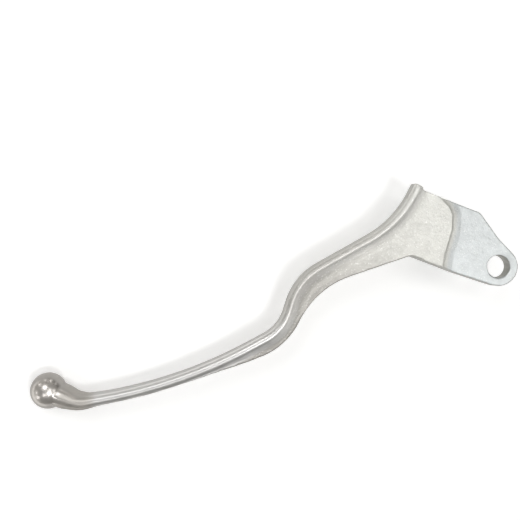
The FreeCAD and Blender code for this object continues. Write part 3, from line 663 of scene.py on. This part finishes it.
def aluminium(finish):
    """Satin rail and blade, buffed ball, dull neck, grainy as-cast web and body, cooler lug, with painted
    shade on steep sides, on rims and on the web towards the elbow.
    """
    material = bpy.data.materials.new("cast_aluminium")
    nodes = Nodes(material)
    place = nodes.add("TexCoord").outputs["Object"]
    polish, ball, neck, worn, side, rim, lug = (
        nodes.add("Attribute", attribute_name=name).outputs["Fac"]
        for name in ("polish", "ball", "neck", "worn", "side", "rim", "lug"))
    grain, patch, pits = (nodes.noise(place, *kind, SKIN_NOISE_ROUGHNESS) for kind in (GRAIN, PATCH, PITS))
    patchy = nodes.span(patch, 0.0, 1.0, *NOISE_RANGE)
    speck = nodes.add("TexVoronoi", {"Vector": place, "Scale": SPARKS}).outputs["Distance"]
    spark = nodes.span(speck, SPARK_SHARE, 0.0, *SPARK_SIZE)

    def mottled(name, tones):
        """Colour that varies between its two tones from patch to patch."""
        dark, light = (shade(getattr(finish, name), tone) for tone in tones[name])
        return nodes.mix(patchy, dark, light)

    def with_side_shade(name, mask, face):
        """Colour of a face that turns to its darker side tones, a painted shade, under a mask."""
        return nodes.mix(mask, face, mottled(name, SIDE_SHADE_TONES))

    # Painted shade: the as-cast colour darkens towards the elbow.
    cast = nodes.mix(worn, mottled("cast", TONES), mottled("worn", TONES))
    skin = nodes.mix(lug, cast, mottled("lug", TONES))
    # Painted shade: steep sides of the skin and rail, and the rims of the ball and neck, take darker tones.
    skin = with_side_shade("cast", side, nodes.mix(spark, skin, SPARK_COLOUR))
    bright = with_side_shade("polished", side, mottled("polished", TONES))
    buffed = with_side_shade("ball", rim, mottled("ball", TONES))
    dulled = with_side_shade("neck", rim, mottled("neck", TONES))
    bright = nodes.mix(neck, nodes.mix(ball, bright, buffed), dulled)
    colour = nodes.mix(polish, skin, bright)

    def varied_roughness(name, noise):
        """Roughness that swings with a noise."""
        middle = getattr(finish, name + "_roughness")
        fall, rise = ROUGHNESS_SWINGS[name]
        return nodes.span(noise, middle - fall, middle + rise, *NOISE_RANGE)

    rough = nodes.blend(ball, varied_roughness("polished", patch), varied_roughness("ball", patch))
    rough = nodes.blend(neck, rough, varied_roughness("neck", patch))
    rough = nodes.blend(polish, varied_roughness("cast", grain), rough)
    bump = nodes.add("Bump", {"Strength": nodes.span(polish, *GRAIN_BUMP), "Distance": GRAIN_DEPTH,
                              "Height": grain}).outputs[0]
    bump = nodes.add("Bump", {"Strength": nodes.span(polish, *PIT_BUMP), "Distance": PIT_DEPTH,
                              "Height": pits, "Normal": bump}).outputs[0]
    surface = nodes.add("BsdfPrincipled", {"Base Color": colour, "Metallic": 1.0, "Roughness": rough,
                                           "Normal": bump, "Specular Tint": GRAZING_TINT})
    nodes.add("OutputMaterial", {"Surface": surface.outputs[0]})
    return material


class LEVER_OT_casting(bpy.types.Operator):
    """Skin the CAD solid as one smooth casting with its finishes"""

    bl_idname = "lever.casting"
    bl_label = "Casting"

    def execute(self, context):
        scene = context.scene
        mesh = casting_mesh(scene.lever_shape)
        mesh.name = "lever_casting"
        if not mesh.polygons:
            raise RuntimeError("the casting has no faces")
        mesh.polygons.foreach_set("use_smooth", [True] * len(mesh.polygons))
        mesh.materials.clear()
        mesh.materials.append(aluminium(scene.lever_finish))
        piece = bpy.data.objects.new("lever_casting", mesh)
        scene.collection.objects.link(piece)
        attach(piece, "root")
        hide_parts(NODE)
        return {"FINISHED"}


def picture_axes(studio):
    """Directions on the table that point right and up in the picture."""
    right = Vector((math.cos(studio.roll), math.sin(studio.roll), 0.0))
    ahead = Vector((-math.sin(studio.roll), math.cos(studio.roll), 0.0))
    return right, ahead


def table_paper(studio):
    """White paper that glows a little for the camera and in reflections, and keeps the shadow."""
    material = bpy.data.materials.new("table_paper")
    nodes = Nodes(material)
    place = nodes.add("TexCoord").outputs["Object"]
    fibre = nodes.noise(place, *FIBRE, FIBRE_NOISE_ROUGHNESS)
    colour = nodes.mix(fibre, *(shade(studio.table, tone) for tone in FIBRE_TONES))
    surface = nodes.add("BsdfDiffuse", {"Color": colour})
    path = nodes.add("LightPath").outputs
    seen = nodes.combine("MAXIMUM", path["Is Camera Ray"], path["Is Glossy Ray"])
    seen = nodes.combine("MAXIMUM", seen, path["Is Transmission Ray"])
    glow = nodes.add("Emission", {"Color": (1.0, 1.0, 1.0, 1.0),
                                  "Strength": nodes.span(seen, 0.0, studio.table_lift)})
    both = nodes.add("AddShader", {0: surface.outputs[0], 1: glow.outputs[0]})
    nodes.add("OutputMaterial", {"Surface": both.outputs[0]})
    return material


def lay_table(scene, studio):
    """Pale table, sloped so that the ball and the tab rest on it."""
    slope = (TAB_REST[1] - BALL_REST[1]) / (TAB_REST[0] - BALL_REST[0])
    bm = bmesh.new()
    corners = []
    for x, y in ((-1, -1), (1, -1), (1, 1), (-1, 1)):
        x, y = x * TABLE_HALF, y * TABLE_HALF
        height = (BALL_REST[1] + slope * (x / MM - BALL_REST[0])) * MM
        corners.append(bm.verts.new((x, y, height)))
    bm.faces.new(corners)
    mesh = bpy.data.meshes.new("table")
    bm.to_mesh(mesh)
    bm.free()
    mesh.materials.append(table_paper(studio))
    table = bpy.data.objects.new("table", mesh)
    scene.collection.objects.link(table)


def hang_sky(scene, studio):
    """Soft light from all round, with its own level overhead and on each side of the picture."""
    right, ahead = picture_axes(studio)
    world = bpy.data.worlds.new("studio")
    nodes = Nodes(world)
    place = nodes.add("TexCoord").outputs["Generated"]

    def toward(facing):
        """Share of the light that comes from one direction."""
        return nodes.combine("POWER", nodes.span(facing, 0.0, 1.0), SKY_FALL)

    height = nodes.add("SeparateXYZ", {"Vector": place}).outputs["Z"]
    total = nodes.scaled((studio.sky_top,) * 3, toward(height))
    for way, level in ((right, studio.sky_right), (-right, studio.sky_left),
                       (ahead, studio.sky_far), (-ahead, studio.sky_near)):
        facing = nodes.add("VectorMath", {0: place, 1: way}, operation="DOT_PRODUCT").outputs["Value"]
        part = nodes.scaled(tuple(level * channel for channel in studio.side_tint), toward(facing))
        total = nodes.add("VectorMath", {0: total, 1: part}, operation="ADD").outputs[0]
    sky = nodes.add("Background", {"Color": total, "Strength": 1.0})
    nodes.add("OutputWorld", {"Surface": sky.outputs[0]})
    scene.world = world


def hang_lamps(scene, studio):
    """Lamps of the shadow and of the small reflections in the ball."""
    right, ahead = picture_axes(studio)
    aim = Vector(LAMP_AIM)
    for name, tilt, turn, size, power in LAMPS:
        tilt, turn = math.radians(tilt), math.radians(turn)
        flat = right * math.cos(turn) + ahead * math.sin(turn)
        way = flat * math.sin(tilt) + Vector((0, 0, math.cos(tilt)))
        data = bpy.data.lights.new(name, "AREA")
        data.shape = "DISK"
        data.size = size
        data.energy = power
        lamp = bpy.data.objects.new(name, data)
        lamp.location = aim + way * LAMP_REACH
        lamp.rotation_euler = (-way).to_track_quat("-Z", "Y").to_euler()
        scene.collection.objects.link(lamp)


def set_camera(scene, studio):
    """Camera straight above the lever, turned as the picture is."""
    data = bpy.data.cameras.new("camera")
    data.sensor_width = SENSOR_WIDTH
    data.lens = studio.lens
    data.clip_start = CLIP_START
    camera = bpy.data.objects.new("camera", data)
    camera.location = CAMERA_PLACE
    camera.rotation_euler = (0.0, 0.0, studio.roll)
    scene.collection.objects.link(camera)
    scene.camera = camera


class LEVER_OT_stage(bpy.types.Operator):
    """Lay the lever on a pale table under soft light, with the camera above it"""

    bl_idname = "lever.stage"
    bl_label = "Stage"

    def execute(self, context):
        scene = context.scene
        studio = scene.lever_studio
        scene.view_settings.view_transform = "Standard"
        lay_table(scene, studio)
        hang_sky(scene, studio)
        hang_lamps(scene, studio)
        set_camera(scene, studio)
        return {"FINISHED"}


class LEVER_PT_panel(bpy.types.Panel):
    """Lever and studio in the sidebar"""

    bl_idname = "LEVER_PT_panel"
    bl_label = "Clutch Lever"
    bl_space_type = "VIEW_3D"
    bl_region_type = "UI"
    bl_category = "Clutch Lever"

    def draw(self, context):
        for name, group in GROUPS.items():
            box = self.layout.box()
            for setting in group.__annotations__:
                box.prop(getattr(context.scene, name), setting)
        for operator in OPERATORS:
            self.layout.operator(operator.bl_idname)


OPERATORS = (LEVER_OT_casting, LEVER_OT_stage)
GROUPS = {"lever_shape": LeverShape, "lever_finish": LeverFinish, "lever_studio": LeverStudio}


def register():
    """Make the settings, operators and panel known."""
    for name, group in GROUPS.items():
        bpy.utils.register_class(group)
        setattr(bpy.types.Scene, name, PointerProperty(type=group))
    for item in OPERATORS + (LEVER_PT_panel,):
        bpy.utils.register_class(item)


def unregister():
    """Take them away again."""
    for item in (LEVER_PT_panel,) + OPERATORS:
        bpy.utils.unregister_class(item)
    for name, group in GROUPS.items():
        delattr(bpy.types.Scene, name)
        bpy.utils.unregister_class(group)


def main():
    """Build the lever and its stage."""
    register()
    bpy.ops.lever.casting()
    bpy.ops.lever.stage()


if __name__ == "__main__":
    main()
